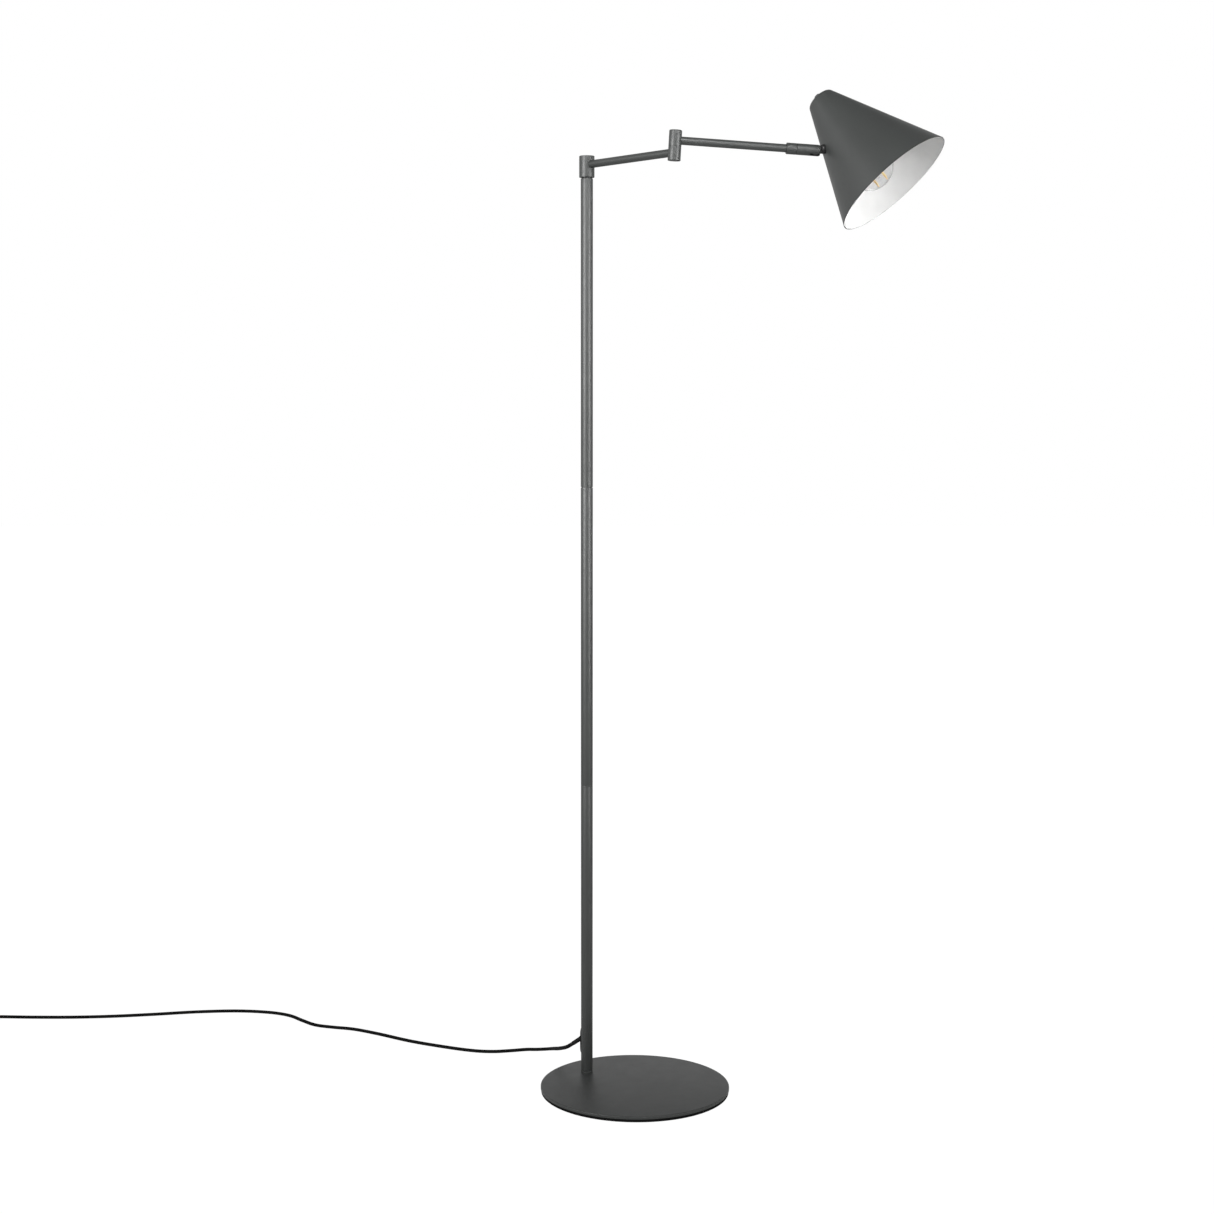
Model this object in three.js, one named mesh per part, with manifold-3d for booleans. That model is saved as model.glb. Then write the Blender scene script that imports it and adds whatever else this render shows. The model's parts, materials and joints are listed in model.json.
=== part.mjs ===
// A floor-standing swing-arm reading lamp: a round base with the pole near its edge, a pole in three screwed
// sections, two level swing arms one above the other, a two-axis knuckle, and a conical shade with an E27 bulb.
// Millimetres, +Z up. The origin is the centre of the base's underside, on the floor.
import * as THREE from 'three';
import { mergeVertices } from 'three/addons/utils/BufferGeometryUtils.js';
import Module from 'manifold-3d';

const wasm = await Module();
wasm.setup();

// Driving sizes.
const GAP = 0.3; // clearance left between pieces that touch
const BASE_R = 127.5;
const BASE_TOP = 8;
const PAD_HEIGHT = 3.5;
const POLE_X = -65;
const POLE_Y = 51.5;
const POLE_R = 8;
const POLE_BORE = 6.8;
const SECTION = 402; // one pole section
const SECTIONS = ['lower', 'middle', 'upper'];
const POLE_TOP = BASE_TOP + SECTIONS.length * SECTION;
const FOOT_RING_HEIGHT = 3.2;
const COLLAR_R = 10;
const ARM_R = 5;
const ARM_BORE = 4;
const ARM_HEIGHT = 1231.8; // lower arm's axis above the floor
const ARM_LENGTH = 178; // pole axis to elbow axis
const UPPER_ARM_RISE = 14.6; // upper arm's axis above the lower arm's, at the elbow
const FOREARM_LENGTH = 177.6; // elbow axis to tilt pin
const ELBOW_R = 8;
const KNUCKLE_R = 7;
const LEAD_R = 1.6;
const RING_START = 140.4; // the knuckle's fixed ring, along the upper arm
const RING_END = 152.6;

// Angles of the arms and the head at rest, in degrees.
const LOWER_ARM_TURN = -52.5;
const ELBOW_BEND = 60;
const ELBOW_LEAN = 3.1; // the elbow's axis leans with the weight of the head
const KNUCKLE_ROLL = -116;
const HEAD_TILT = -14.5;

// The shade is a cone about its own axis. Heights on it are measured from the cone's virtual apex.
const SHADE_HALF_ANGLE = THREE.MathUtils.degToRad(23.53);
const SHADE_RIM_R = 80.5;
const SHADE_RIM = SHADE_RIM_R / Math.tan(SHADE_HALF_ANGLE);
const SHADE_CROWN = 34.7;
const SHADE_WALL = 1;
const CROWN_DOME_R = 33;
const SHOULDER_R = 7.8;
const WALL_REACH = 11.9; // tilt pin to the shade's outer face
const WALL_MOUNT = 97.5; // where the neck meets the wall, along the shade's axis
const LAMP_OFFSET = 10.5; // the lamp stands this far off the shade's axis, towards the neck
const BRACKET_LEG = 60; // the bracket's cross leg, along the shade's axis
const STEM_TOP = 168; // the lamp's inner stem ends here, along the lamp's axis
const FILAMENT_HALF = 20;
const FILAMENT_MIDDLE = 154.8;
const FILAMENT_REACH = 9.7; // the filaments stand this far off the lamp's axis
const FILAMENT_TURN = 75; // direction of the first one from it, in degrees
const BUTTON_PROUD = 1.7; // the crown button above the top of the crown

const CORD_R = 2.6;
const EXIT_HEIGHT = 52;
const EXIT_TURN = 145; // direction in which the cord leaves the pole
const EXIT_DROP = 36; // the strain relief points this far below level
const EXIT_RISE = 9.6; // where its slanted axis meets the pole's, above the grommet's middle
const RELIEF_END = 33; // its end, along its axis

const paint = (color, roughness = 0.55, metalness = 0.2) => ({ color, roughness, metalness });
const ANTHRACITE = paint(0x4a4c4b);
const BLACK_PLASTIC = paint(0x161616, 0.5, 0);
const BLACK_RUBBER = paint(0x0e0e0e, 0.8, 0);
const ZINC_STEEL = paint(0xa9abad, 0.4, 0.9);
const NICKEL = paint(0xc6c4bd, 0.25, 1);
const GLASS = paint(0xf4f6f6, 0.05, 0);
const FILAMENT = paint(0xe0902a, 0.6, 0);

const turn = THREE.MathUtils.degToRad;

// A manifold solid from a three.js geometry, and back again.
function solid(geometry) {
  geometry.deleteAttribute('normal');
  geometry.deleteAttribute('uv');
  const merged = mergeVertices(geometry, 1e-4);
  return new wasm.Manifold(new wasm.Mesh({
    numProp: 3,
    vertProperties: Float32Array.from(merged.attributes.position.array),
    triVerts: Uint32Array.from(merged.index.array),
  }));
}

function geometryOf(body) {
  const mesh = body.getMesh();
  const geometry = new THREE.BufferGeometry();
  geometry.setAttribute('position', new THREE.BufferAttribute(new Float32Array(mesh.vertProperties), 3));
  geometry.setIndex(new THREE.BufferAttribute(new Uint32Array(mesh.triVerts), 1));
  return geometry;
}

function cut(geometry, ...tools) {
  const body = tools.reduce((left, tool) => left.subtract(solid(tool)), solid(geometry));
  return geometryOf(body);
}

function join(geometry, ...others) {
  const body = others.reduce((whole, other) => whole.add(solid(other)), solid(geometry));
  return geometryOf(body);
}

// A solid of revolution about Z. The profile is [radius, height] pairs from its lower end, up the outside and
// back down any bore; one that doesn't start on the axis closes on itself.
function turned(profile, sides = 16) {
  const points = profile.map(([radius, height]) => new THREE.Vector2(radius, height));
  if (profile[0][0] > 0) points.push(points[0].clone());
  return new THREE.LatheGeometry(points, sides).rotateX(Math.PI / 2);
}

function rod(radius, bottom, top, sides = 16) {
  return turned([[0, bottom], [radius, bottom], [radius, top], [0, top]], sides);
}

function pipe(radius, bore, bottom, top, sides = 16) {
  return turned([[radius, bottom], [radius, top], [bore, top], [bore, bottom]], sides);
}

function chamferedPipe(radius, bore, bottom, top, chamfer, sides) {
  return turned([
    [radius - chamfer, bottom], [radius, bottom + chamfer],
    [radius, top - chamfer], [radius - chamfer, top],
    [bore, top], [bore, bottom],
  ], sides);
}

function hexagon(acrossFlats, bore, bottom, top) {
  const prism = rod(acrossFlats / Math.sqrt(3), bottom, top, 6);
  return bore > 0 ? cut(prism, rod(bore, bottom - 1, top + 1, 16)) : prism;
}

function block(width, depth, height, x, y, z) {
  return new THREE.BoxGeometry(width, depth, height).translate(x, y, z);
}

// Turns a shape made about Z so that its axis lies along +X.
const alongX = (geometry) => geometry.rotateY(Math.PI / 2);

// Turns a shape made about Z to lie along the strain relief's axis, in the grommet's frame.
const alongRelief = (geometry) => alongX(geometry).rotateY(turn(EXIT_DROP)).translate(0, 0, EXIT_RISE);

function tubeAlong(points, radius, sides, steps) {
  const section = new THREE.Shape();
  for (let i = 0; i < sides; i += 1) {
    const angle = (2 * Math.PI * i) / sides;
    const corner = [radius * Math.cos(angle), radius * Math.sin(angle)];
    if (i === 0) section.moveTo(...corner);
    else section.lineTo(...corner);
  }
  const extrudePath = new THREE.CatmullRomCurve3(points.map((point) => new THREE.Vector3(...point)));
  return new THREE.ExtrudeGeometry(section, { steps, bevelEnabled: false, extrudePath });
}

function piece(parent, name, geometry, finish) {
  const mesh = new THREE.Mesh(geometry, new THREE.MeshStandardMaterial(finish));
  mesh.name = name;
  parent.add(mesh);
  return mesh;
}

function subgroup(parent, position, rotation = [0, 0, 0], order = 'XYZ') {
  const group = new THREE.Group();
  group.position.set(...position);
  group.rotation.set(...rotation.map(turn), order);
  parent.add(group);
  return group;
}

const lamp = new THREE.Group();

// A group about an axis parallel to the shade's, with +Z running down it and its zero level with the apex.
function axisGroup(head, offset) {
  const group = new THREE.Group();
  const [x, y] = inHead(0, offset);
  const tip = new THREE.Matrix4().makeRotationZ(-SHADE_HALF_ANGLE);
  const lay = new THREE.Matrix4().makeRotationX(-Math.PI / 2);
  group.applyMatrix4(new THREE.Matrix4().makeTranslation(x, y, 0).multiply(tip).multiply(lay));
  group.updateMatrix();
  head.add(group);
  return group;
}

// The base: a steel disc on a rubber pad, with the pole's bolt in a recess on the underside.
function addBase() {
  const recess = 5.2;
  const atPole = (geometry) => geometry.translate(POLE_X, POLE_Y, 0);
  const edge = 1.5;
  const plateBottom = PAD_HEIGHT + GAP;
  const fillet = [30, 60, 90].map((angle) => [
    BASE_R - edge + edge * Math.cos(turn(angle)), BASE_TOP - edge + edge * Math.sin(turn(angle))]);
  const plate = turned([
    [0, plateBottom], [BASE_R - 0.5, plateBottom], [BASE_R, plateBottom + 0.5],
    [BASE_R, BASE_TOP - edge], ...fillet, [0, BASE_TOP],
  ], 60);
  piece(lamp, 'base_plate', cut(
    plate,
    atPole(rod(4.5, 0, BASE_TOP + 1)),
    atPole(rod(10.5, 0, recess)),
  ), ANTHRACITE);
  piece(lamp, 'base_pad', cut(rod(BASE_R - 1.5, 0, PAD_HEIGHT, 60), atPole(rod(12, -1, PAD_HEIGHT + 1))),
    BLACK_RUBBER);
  const pole = subgroup(lamp, [POLE_X, POLE_Y, 0]);
  piece(pole, 'base_bolt', join(hexagon(13, 0, 0.8, 3.7), rod(3.9, 3, 26, 16)), ZINC_STEEL);
  piece(pole, 'base_washer', pipe(9, 4.3, 4, recess - GAP), ZINC_STEEL);
}

// The pole: three tubes joined by hollow couplers, with a threaded plug at each end.
function addPole() {
  const pole = subgroup(lamp, [POLE_X, POLE_Y, 0]);
  const foot = BASE_TOP + GAP;
  const ringTop = BASE_TOP + FOOT_RING_HEIGHT;
  piece(pole, 'foot_ring', turned([
    [POLE_R, foot], [POLE_R, ringTop - 0.7], [POLE_R - 0.7, ringTop], [7.2, ringTop], [7.2, foot],
  ], 24), ANTHRACITE);
  piece(pole, 'pole_foot_plug', pipe(POLE_BORE - GAP, 4.3, foot, 32), ZINC_STEEL);

  const grommetHole = alongRelief(rod(3.4, 4, 15, 16)).rotateZ(turn(EXIT_TURN)).translate(0, 0, EXIT_HEIGHT);
  SECTIONS.forEach((name, i) => {
    const bottom = i === 0 ? ringTop + GAP : BASE_TOP + i * SECTION + GAP;
    const top = BASE_TOP + (i + 1) * SECTION;
    const tube = chamferedPipe(POLE_R, POLE_BORE, bottom, top, 0.5, 24);
    piece(pole, `pole_tube_${name}`, i === 0 ? cut(tube, grommetHole) : tube, ANTHRACITE);
    if (i === 0) return;
    const seam = BASE_TOP + i * SECTION;
    const coupler = pipe(POLE_BORE - GAP, 4, seam - 20, seam + 20);
    piece(pole, `pole_coupler_${SECTIONS[i - 1]}`, coupler, ZINC_STEEL);
  });

  piece(pole, 'pole_top_plug', pipe(POLE_BORE - GAP, 4.9, POLE_TOP - 22, POLE_TOP), ZINC_STEEL);
  piece(pole, 'swivel_stud', pipe(4.6, 2.6, POLE_TOP - 20, POLE_TOP + 22), ZINC_STEEL);
  piece(pole, 'swivel_washer', pipe(7.2, 5, POLE_TOP + GAP, POLE_TOP + 1), BLACK_PLASTIC);
  piece(pole, 'lead_in_pole', rod(LEAD_R, EXIT_HEIGHT + 6, POLE_TOP + 16, 8), BLACK_RUBBER);
}

// The oval cord grommet low on the pole's back and left, with its tapered strain relief pointing down.
function addGrommet() {
  const pole = subgroup(lamp, [POLE_X, POLE_Y, EXIT_HEIGHT], [0, 0, EXIT_TURN]);
  const half = 18; // half the oval's height
  const proud = 1.4;
  const oval = alongX(rod(1, 0, POLE_R + proud, 24)).scale(1, 6.6, half);
  const shell = geometryOf(solid(oval).intersect(solid(rod(POLE_R + proud, -half - 1, half + 1, 32))));
  const plate = cut(shell, rod(POLE_R + GAP, -half - 1, half + 1, 32));
  const relief = alongRelief(turned([
    [0, 5.6], [2.9, 5.6], [2.9, POLE_R + 4.2], [3.8, POLE_R + 5.6], [3, RELIEF_END], [0, RELIEF_END],
  ], 16));
  const bore = alongRelief(rod(1.9, 0, RELIEF_END + 1, 12));
  piece(pole, 'cord_grommet', cut(join(plate, relief), bore), BLACK_RUBBER);
}

// The free cord: out of the grommet, down to the floor behind the base, and away to the left, where what is
// left of its length lies in a tied coil with the plug beside it.
const CORD_ROUTE = [
  [-87.3, 67.1, 41.9], [-90.8, 69.8, 38.9], [-94.6, 75.4, 35.6], [-98.6, 84.5, 31.8], [-102.8, 97, 27.2],
  [-106.5, 111, 22.4], [-110.8, 128, 17], [-117, 146, 11], [-125, 160, 6], [-137, 168, 3],
  [-152, 169, CORD_R],
  [-172, 164, CORD_R], [-198, 159.5, CORD_R], [-226, 163, CORD_R],
  [-264, 178, CORD_R], [-320, 207, CORD_R], [-371, 242, CORD_R], [-410, 265, CORD_R],
  [-443, 275, CORD_R], [-470, 286, CORD_R], [-492, 308, CORD_R], [-516, 334, CORD_R],
  [-550, 350, CORD_R], [-600, 357, CORD_R], [-660, 352, CORD_R], [-720, 340, CORD_R],
  [-780, 330, CORD_R], [-840, 325, CORD_R], [-900, 325, CORD_R], [-955, 327.5, CORD_R],
  [-990, 327.5, CORD_R],
];
const COIL_X = -1000;
const COIL_Y = 295;
const COIL_INNER = 19.4;
const COIL_OUTER = 35.6;
const COIL_HEIGHT = 10.6;
const LAST_TURN = 30.5; // radius of the coil's last turn
const PLUG_AWAY = 40; // the plug starts this far past the coil's middle

function addCord() {
  const round = 3;
  const nearCoil = CORD_ROUTE.findIndex((point) => point[0] < COIL_X + COIL_OUTER + 20);
  const across = CORD_ROUTE[nearCoil][1] - COIL_Y;
  const reach = Math.sqrt((COIL_OUTER + CORD_R + GAP) ** 2 - across ** 2);
  const free = [...CORD_ROUTE.slice(0, nearCoil), [COIL_X + reach, CORD_ROUTE[nearCoil][1], CORD_R]];
  piece(lamp, 'cord_tube', tubeAlong(free, CORD_R, 8, 70), BLACK_RUBBER);

  const coil = subgroup(lamp, [COIL_X, COIL_Y, 0]);
  piece(coil, 'cord_coil', turned([
    [COIL_INNER + round, 0], [COIL_OUTER - round, 0], [COIL_OUTER, round],
    [COIL_OUTER, COIL_HEIGHT - round], [COIL_OUTER - round, COIL_HEIGHT],
    [COIL_INNER + round, COIL_HEIGHT], [COIL_INNER, COIL_HEIGHT - round], [COIL_INNER, round],
  ], 24), BLACK_RUBBER);

  // A flat two-pin plug lies on the floor beside the coil, where the last turn runs straight into it.
  const body = new THREE.Shape();
  body.moveTo(0, -5);
  body.lineTo(10, -6.5);
  body.lineTo(20, -13);
  body.lineTo(36, -13);
  body.lineTo(36, 13);
  body.lineTo(20, 13);
  body.lineTo(10, 6.5);
  body.lineTo(0, 5);
  const plug = subgroup(lamp, [COIL_X - LAST_TURN, COIL_Y - PLUG_AWAY, 0], [0, 0, -90]);
  const bodyDepth = 13;
  piece(plug, 'plug_body', new THREE.ExtrudeGeometry(body, { depth: bodyDepth, bevelEnabled: false }),
    BLACK_RUBBER);
  for (const [name, side] of [['plug_pin_left', 9.3], ['plug_pin_right', -9.3]]) {
    const pin = alongX(rod(2, 36 + GAP, 55, 12)).translate(0, side, bodyDepth / 2);
    piece(plug, name, pin, NICKEL);
  }
}

// The lower arm: the collar that turns on the pole, the arm's tube and the lower half of the elbow.
function addLowerArm(arm, elbow) {
  const collarBottom = POLE_TOP + 1 + GAP - ARM_HEIGHT;
  const collarTop = 11.2;
  const boreTop = 5.5;
  const collar = turned([
    [0, collarBottom], [COLLAR_R - 0.8, collarBottom], [COLLAR_R, collarBottom + 0.8],
    [COLLAR_R, collarTop - 0.8], [COLLAR_R - 0.8, collarTop], [0, collarTop],
  ], 24);
  const socket = alongX(rod(ARM_R + GAP, 5.5, COLLAR_R + 2));
  piece(arm, 'swivel_collar', cut(collar, rod(5, collarBottom - 1, boreTop), socket), ANTHRACITE);
  piece(arm, 'arm_tube_lower', alongX(pipe(ARM_R, ARM_BORE, 5.8, ARM_LENGTH - 4.3)), ANTHRACITE);
  piece(arm, 'lead_in_lower_arm', alongX(rod(LEAD_R, 8, ARM_LENGTH - 8, 8)), BLACK_RUBBER);

  const halfBottom = -10.2;
  const halfTop = 7;
  const half = turned([
    [0, halfBottom], [ELBOW_R - 0.6, halfBottom], [ELBOW_R, halfBottom + 0.6], [ELBOW_R, halfTop], [0, halfTop],
  ], 24);
  const armSocket = alongX(rod(ARM_R + GAP, -ELBOW_R - 2, -4)).rotateZ(turn(-ELBOW_BEND));
  piece(elbow, 'elbow_housing_lower', cut(half, armSocket, rod(3.3, -6, halfTop + 1)), ANTHRACITE);
  piece(elbow, 'elbow_pin', pipe(3, 1.7, -5.7, 24.2, 16), ZINC_STEEL);
  piece(elbow, 'elbow_washer', pipe(5.5, 3.3, 20.9, 21.6), ZINC_STEEL);
  piece(elbow, 'elbow_nut', hexagon(8, 3.3, 21.9, 24), ZINC_STEEL);
}

// The upper arm: the upper half of the elbow, the arm's tube and the fixed ring of the knuckle.
function addUpperArm(elbow) {
  const bottom = 7.5;
  const top = 26.2;
  const recess = 20.6;
  const half = turned([
    [0, bottom], [ELBOW_R, bottom], [ELBOW_R, top - 1.2], [ELBOW_R - 1.2, top], [0, top],
  ], 24);
  const socket = alongX(rod(ARM_R + GAP, 4, ELBOW_R + 2)).translate(0, 0, UPPER_ARM_RISE);
  piece(elbow, 'elbow_housing_upper', cut(
    half, socket, rod(3.3, bottom - 1, recess + 1), rod(6.3, recess, top + 1),
  ), ANTHRACITE);
  piece(elbow, 'elbow_cap', rod(6, 24.6, top - 0.1), ANTHRACITE);

  const arm = subgroup(elbow, [0, 0, UPPER_ARM_RISE]);
  piece(arm, 'arm_tube_upper', alongX(pipe(ARM_R, ARM_BORE, 4.3, RING_END + 11.6)), ANTHRACITE);
  piece(arm, 'knuckle_ring', alongX(turned([
    [KNUCKLE_R - 0.9, RING_START], [KNUCKLE_R, RING_START + 0.9], [KNUCKLE_R, RING_END - 0.3],
    [KNUCKLE_R - 0.3, RING_END], [ARM_R + GAP, RING_END], [ARM_R + GAP, RING_START],
  ], 24)), ANTHRACITE);
  piece(arm, 'lead_in_upper_arm', alongX(rod(LEAD_R, 8, RING_END + 9, 8)), BLACK_RUBBER);
}

// The knuckle: a fork that turns about the upper arm and holds the head's tongue on a cross pin.
function addKnuckle(knuckle) {
  const start = RING_END + 0.4;
  const slot = 2.6;
  const slotFloor = FOREARM_LENGTH - 7.4;
  const body = alongX(turned([
    [0, start], [KNUCKLE_R - 0.3, start], [KNUCKLE_R, start + 0.3],
    [KNUCKLE_R, FOREARM_LENGTH + KNUCKLE_R + 1], [0, FOREARM_LENGTH + KNUCKLE_R + 1],
  ], 32));
  const roundEnd = join(
    rod(KNUCKLE_R, -9, 9, 32).translate(FOREARM_LENGTH, 0, 0),
    block(60, 2 * KNUCKLE_R + 1, 18, FOREARM_LENGTH - 30, 0, 0),
  );
  const fork = geometryOf(solid(body).intersect(solid(roundEnd)));
  piece(knuckle, 'knuckle_body', cut(
    fork,
    alongX(rod(ARM_R + GAP, start - 1, RING_END + 12)),
    block(30, 20, 2 * slot, slotFloor + 15, 0, 0),
    rod(2.3, -9, 9, 16).translate(FOREARM_LENGTH, 0, 0),
  ), ANTHRACITE);
  piece(knuckle, 'tilt_pin', rod(2, -6.6, 6.6, 16).translate(FOREARM_LENGTH, 0, 0), ANTHRACITE);
}

// The neck, in the head's frame: +X runs from the tilt pin into the shade, +Y down along its wall, +Z is the pin.
function addNeck(head) {
  const plateEnd = 7.4;
  const tongue = join(
    rod(6.2, -2.3, 2.3, 24),
    block(plateEnd, 9, 4.6, plateEnd / 2, 0, 0),
    alongX(rod(4, plateEnd - 0.01, 21, 16)),
  );
  piece(head, 'tilt_tongue', cut(tongue, rod(2.3, -3, 3, 16), alongX(rod(2, 8, 22, 12))), BLACK_PLASTIC);
  piece(head, 'neck_bush', alongX(pipe(5.6, 4.3, plateEnd + 0.1, WALL_REACH - GAP)), BLACK_PLASTIC);
  piece(head, 'neck_washer', alongX(pipe(7, 4.3, WALL_REACH + 1.9, WALL_REACH + 2.7)), ZINC_STEEL);
  piece(head, 'neck_nut', alongX(hexagon(11, 4.3, WALL_REACH + 4.8, WALL_REACH + 7.8)), ZINC_STEEL);
}

// A point of the shade's axial plane, given along its axis and out towards the neck, in the head's frame.
function inHead(along, out) {
  const slope = SHADE_HALF_ANGLE;
  const apexDrop = WALL_MOUNT / Math.cos(slope);
  return [
    WALL_REACH + along * Math.sin(slope) - out * Math.cos(slope),
    -apexDrop + along * Math.cos(slope) + out * Math.sin(slope),
  ];
}

// The bracket is a bent strip: one leg under the neck's nut along the wall, one across behind the lampholder.
function addBracket(head) {
  const thick = 1.5;
  const width = 14;
  const face = WALL_REACH + 3;
  const slope = SHADE_HALF_ANGLE;
  const outAt = (along, x) => (WALL_REACH + along * Math.sin(slope) - x) / Math.cos(slope);
  const near = BRACKET_LEG - thick / 2;
  const far = BRACKET_LEG + thick / 2;
  const corners = [
    [face, 9], [face, inHead(near, outAt(near, face))[1]], inHead(near, 1), inHead(far, 1),
    [face + thick, inHead(far, outAt(far, face + thick))[1]], [face + thick, 9],
  ];
  const outline = new THREE.Shape(corners.map(([x, y]) => new THREE.Vector2(x, y)));
  const strip = new THREE.ExtrudeGeometry(outline, { depth: width, bevelEnabled: false });
  const [x, y] = inHead(BRACKET_LEG, LAMP_OFFSET);
  const nippleHole = rod(4.6, -4, 4, 16).rotateX(-Math.PI / 2).rotateZ(-slope).translate(x, y, 0);
  piece(head, 'lamp_bracket', cut(
    strip.translate(0, 0, -width / 2), alongX(rod(4.4, face - 1, face + 3, 16)), nippleHole,
  ), ZINC_STEEL);
}

// The shade's side from near the axis to the top of its cone: the crown's dome and a shoulder arc that touches
// both the dome and the cone. The inset gives the same line for the wall's inner face.
function shadeProfile(inset) {
  const slope = SHADE_HALF_ANGLE;
  const domeCentre = SHADE_CROWN + CROWN_DOME_R;
  const reach = CROWN_DOME_R - SHOULDER_R;
  const belowCone = (radius) => (radius + SHOULDER_R / Math.cos(slope)) / Math.tan(slope);
  let low = 0;
  let high = turn(80);
  for (let i = 0; i < 50; i += 1) {
    const angle = (low + high) / 2;
    if (domeCentre - reach * Math.cos(angle) > belowCone(reach * Math.sin(angle))) low = angle;
    else high = angle;
  }
  const arc = (centreR, centreZ, radius, from, to, steps) => Array.from({ length: steps }, (_, i) => {
    const angle = from + ((to - from) * (i + 1)) / steps;
    return [centreR + radius * Math.sin(angle), centreZ - radius * Math.cos(angle)];
  });
  return [
    ...arc(0, domeCentre, CROWN_DOME_R - inset, 0, low, 3),
    ...arc(reach * Math.sin(low), domeCentre - reach * Math.cos(low), SHOULDER_R - inset,
      low, Math.PI / 2 - slope, 4),
  ];
}

// The shade about its own axis, which is +Z here, with its switch under the crown and the lead to the holder.
function addShade(shade, head) {
  const wallAcross = SHADE_WALL / Math.cos(SHADE_HALF_ANGLE);
  const hole = 4.4;
  const crown = (inset) => SHADE_CROWN + inset + hole ** 2 / (2 * CROWN_DOME_R);
  const outside = [[hole, crown(0)], ...shadeProfile(0), [SHADE_RIM_R, SHADE_RIM]];
  const inside = [[hole, crown(SHADE_WALL)], ...shadeProfile(SHADE_WALL), [SHADE_RIM_R - wallAcross, SHADE_RIM]];
  const shell = turned([...outside, ...inside.reverse()], 44);
  const toShade = new THREE.Matrix4().copy(shade.matrix).invert();
  const neckHole = alongX(rod(hole, WALL_REACH - 5, WALL_REACH + 6, 16)).applyMatrix4(toShade);
  piece(shade, 'shade_shell', cut(shell, neckHole), ANTHRACITE);
  piece(shade, 'switch_nut', pipe(7, hole, SHADE_CROWN + 2.3, SHADE_CROWN + 4.2), ZINC_STEEL);
  piece(shade, 'switch_body', rod(6.5, SHADE_CROWN + 4.5, SHADE_CROWN + 14, 16), BLACK_PLASTIC);
  piece(head, 'lead_in_head', tubeAlong([
    [21.4, 0, 0], [23.4, -3, 2], [21.6, -8, 6.6], [19.2, -14, 10], [17.6, -24, 10.6],
    [17.3, -36, 10.6], [17.8, -46, 10], [19.5, -54, 8.2], [22, -59.5, 5.8],
  ], 1.3, 6, 24), BLACK_RUBBER);
}

// The lamp: an E27 holder on the bracket and a clear bulb with four filaments, about its own axis.
function addLamp(bulb) {
  const back = BRACKET_LEG + 1;
  const mouth = 99;
  piece(bulb, 'lampholder_body', turned([
    [4.6, back], [10.8, back], [17.2, back + 16], [17.2, mouth - 12], [18.6, mouth - 11],
    [18.6, mouth - 4], [17.2, mouth - 3], [17.2, mouth],
    [14.4, mouth], [14.4, back + 18], [10, back + 11], [4.6, back + 11],
  ], 24), BLACK_PLASTIC);
  piece(bulb, 'lampholder_nipple', pipe(4.3, 2.4, BRACKET_LEG - 4.6, back + 7, 16), ZINC_STEEL);
  piece(bulb, 'lampholder_nut', hexagon(11, 4.6, BRACKET_LEG - 4, BRACKET_LEG - 1.05), ZINC_STEEL);
  const capEnd = 73.5;
  const capTop = 100.5;
  piece(bulb, 'bulb_cap', turned([
    [0, capEnd], [4.5, capEnd], [5, capEnd + 1.5], [11.5, capEnd + 4], [13, capEnd + 6],
    [13, capTop], [0, capTop],
  ]), NICKEL);

  // The glass: a straight neck, a flank that touches the ball, and the ball, with its foot open for the stem.
  const ballCentre = 148.8;
  const ballR = 30;
  const neck = [[12.6, capTop + GAP], [13.2, 106]];
  const glassWall = 0.9;
  const profile = (radius, inset) => {
    const points = neck.map(([r, z]) => [r - inset, z]);
    for (let angle = 68; angle < 180; angle += 16) {
      points.push([radius * Math.sin(turn(angle)), ballCentre - radius * Math.cos(turn(angle))]);
    }
    points.push([0, ballCentre + radius]);
    return points;
  };
  piece(bulb, 'bulb_glass', turned([
    ...profile(ballR, 0), ...profile(ballR - glassWall, glassWall).reverse(),
  ], 24), GLASS);
  piece(bulb, 'filament_stem', turned([
    [0, capTop + GAP], [8, capTop + GAP], [6, capTop + 6], [2.4, capTop + 14], [1.2, capTop + 28],
    [1.2, STEM_TOP], [0, STEM_TOP],
  ], 12), GLASS);
  for (let i = 0; i < 4; i += 1) {
    const strip = rod(0.8, FILAMENT_MIDDLE - FILAMENT_HALF, FILAMENT_MIDDLE + FILAMENT_HALF, 8)
      .translate(FILAMENT_REACH, 0, 0).rotateZ(turn(FILAMENT_TURN + 90 * i));
    piece(bulb, `filament_${i + 1}`, strip, FILAMENT);
  }
}

addBase();
addPole();
addGrommet();
addCord();

const lowerArm = subgroup(lamp, [POLE_X, POLE_Y, ARM_HEIGHT], [0, 0, LOWER_ARM_TURN]);
const elbow = subgroup(lowerArm, [ARM_LENGTH, 0, 0], [0, ELBOW_LEAN, ELBOW_BEND], 'ZYX');
addLowerArm(lowerArm, elbow);
addUpperArm(elbow);

const knuckle = subgroup(elbow, [0, 0, UPPER_ARM_RISE], [KNUCKLE_ROLL, 0, 0]);
addKnuckle(knuckle);

const head = subgroup(knuckle, [FOREARM_LENGTH, 0, 0], [0, 0, HEAD_TILT]);
addNeck(head);
addBracket(head);
const shade = axisGroup(head, 0);
addShade(shade, head);
addLamp(axisGroup(head, LAMP_OFFSET));
piece(shade, 'crown_button', rod(3.9, SHADE_CROWN - BUTTON_PROUD, SHADE_CROWN + 2, 20), BLACK_PLASTIC);

export default lamp;
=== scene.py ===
"""The looks of a floor-standing swing-arm reading lamp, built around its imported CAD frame. Metres, +Z up."""
import json
import math

import bmesh
import bpy
from mathutils import Matrix, Vector


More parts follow.
